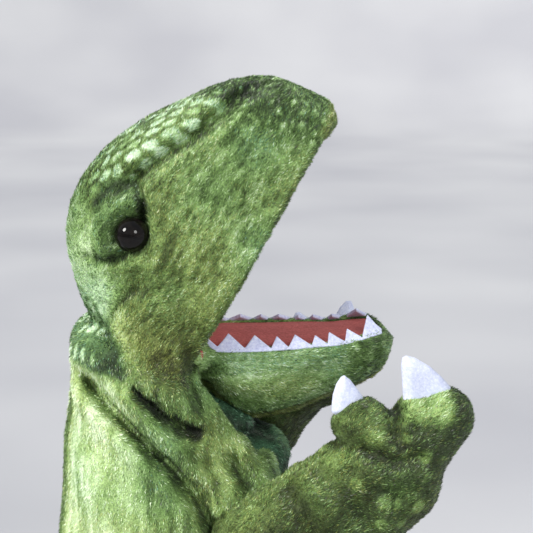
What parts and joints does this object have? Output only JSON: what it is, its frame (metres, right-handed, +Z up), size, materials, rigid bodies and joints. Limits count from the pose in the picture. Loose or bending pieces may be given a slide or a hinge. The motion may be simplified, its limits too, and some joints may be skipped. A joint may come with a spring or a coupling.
{
  "type": "plush dinosaur hand puppet",
  "caption": "Green plush dinosaur hand puppet with a wide hinged mouth lined in red felt, felt teeth and claws, small arms, feet and a tail to stand on.",
  "frame": {"origin": "centre of the bounding box at ground level", "axes": "+X forward from tail to snout, +Y to the dinosaur's left, +Z up"},
  "size_m": [0.3621, 0.146, 0.3331],
  "materials": {
    "green_plush": "matte",
    "dark_green_plush": "matte",
    "olive_plush": "matte",
    "bluish_green_plush": "matte",
    "batting": "matte",
    "lining_cloth": "matte",
    "binding_tape": "matte",
    "red_felt": "matte",
    "white_felt": "matte",
    "mouth_board": "matte",
    "black_gloss": "gloss",
    "washer_plastic": "matte"
  },
  "bodies": {
    "torso": {"body_shell": "green_plush", "body_stuffing": "batting", "hand_lining": "lining_cloth", "opening_binding": "binding_tape", "throat_patch": "bluish_green_plush", "back_strip": "dark_green_plush", "leg_left": "green_plush", "leg_left_stuffing": "batting", "foot_claws_left": "white_felt", "leg_right": "green_plush", "leg_right_stuffing": "batting", "foot_claws_right": "white_felt"},
    "head": {"head_shell": "green_plush", "head_stuffing": "batting", "finger_pocket": "lining_cloth", "palate_felt": "red_felt", "upper_mouth_board": "mouth_board", "mouth_fold": "red_felt", "eye_washers": "washer_plastic", "upper_lip": "olive_plush", "eye_left": "black_gloss", "eye_right": "black_gloss", "eyelid_left": "dark_green_plush", "eyelid_right": "dark_green_plush", "brow_left": "green_plush", "brow_right": "green_plush"},
    "lower_jaw": {"jaw_shell": "green_plush", "jaw_stuffing": "batting", "thumb_pocket": "lining_cloth", "tongue_felt": "red_felt", "lower_mouth_board": "mouth_board", "teeth_left": "white_felt", "teeth_right": "white_felt"},
    "arm_left": {"arm_left": "olive_plush", "arm_left_stuffing": "batting", "hand_claws_left": "white_felt"},
    "arm_right": {"arm_right": "olive_plush", "arm_right_stuffing": "batting", "hand_claws_right": "white_felt"},
    "tail": {"tail_shell": "green_plush", "tail_stuffing": "batting", "tail_strip": "dark_green_plush"}
  },
  "joints": [
    {"name": "head_nod", "type": "hinge", "parent": "torso", "child": "head", "pos_m": [0.06, 0, 0.215], "axis": [0, 1, 0], "range_deg": [-6, 36]},
    {"name": "jaw_swing", "type": "hinge", "parent": "torso", "child": "lower_jaw", "pos_m": [0.06, 0, 0.215], "axis": [0, 1, 0], "range_deg": [-20, 8]},
    {"name": "shoulder_left", "type": "hinge", "parent": "torso", "child": "arm_left", "pos_m": [0.088, 0.054, 0.133], "axis": [0, 1, 0], "range_deg": [-8, 20]},
    {"name": "shoulder_right", "type": "hinge", "parent": "torso", "child": "arm_right", "pos_m": [0.088, -0.054, 0.133], "axis": [0, 1, 0], "range_deg": [-20, 20]},
    {"name": "tail_wag", "type": "hinge", "parent": "torso", "child": "tail", "pos_m": [-0.014, 0, 0.066], "axis": [0, 0, 1], "range_deg": [-24, 24]}
  ]
}
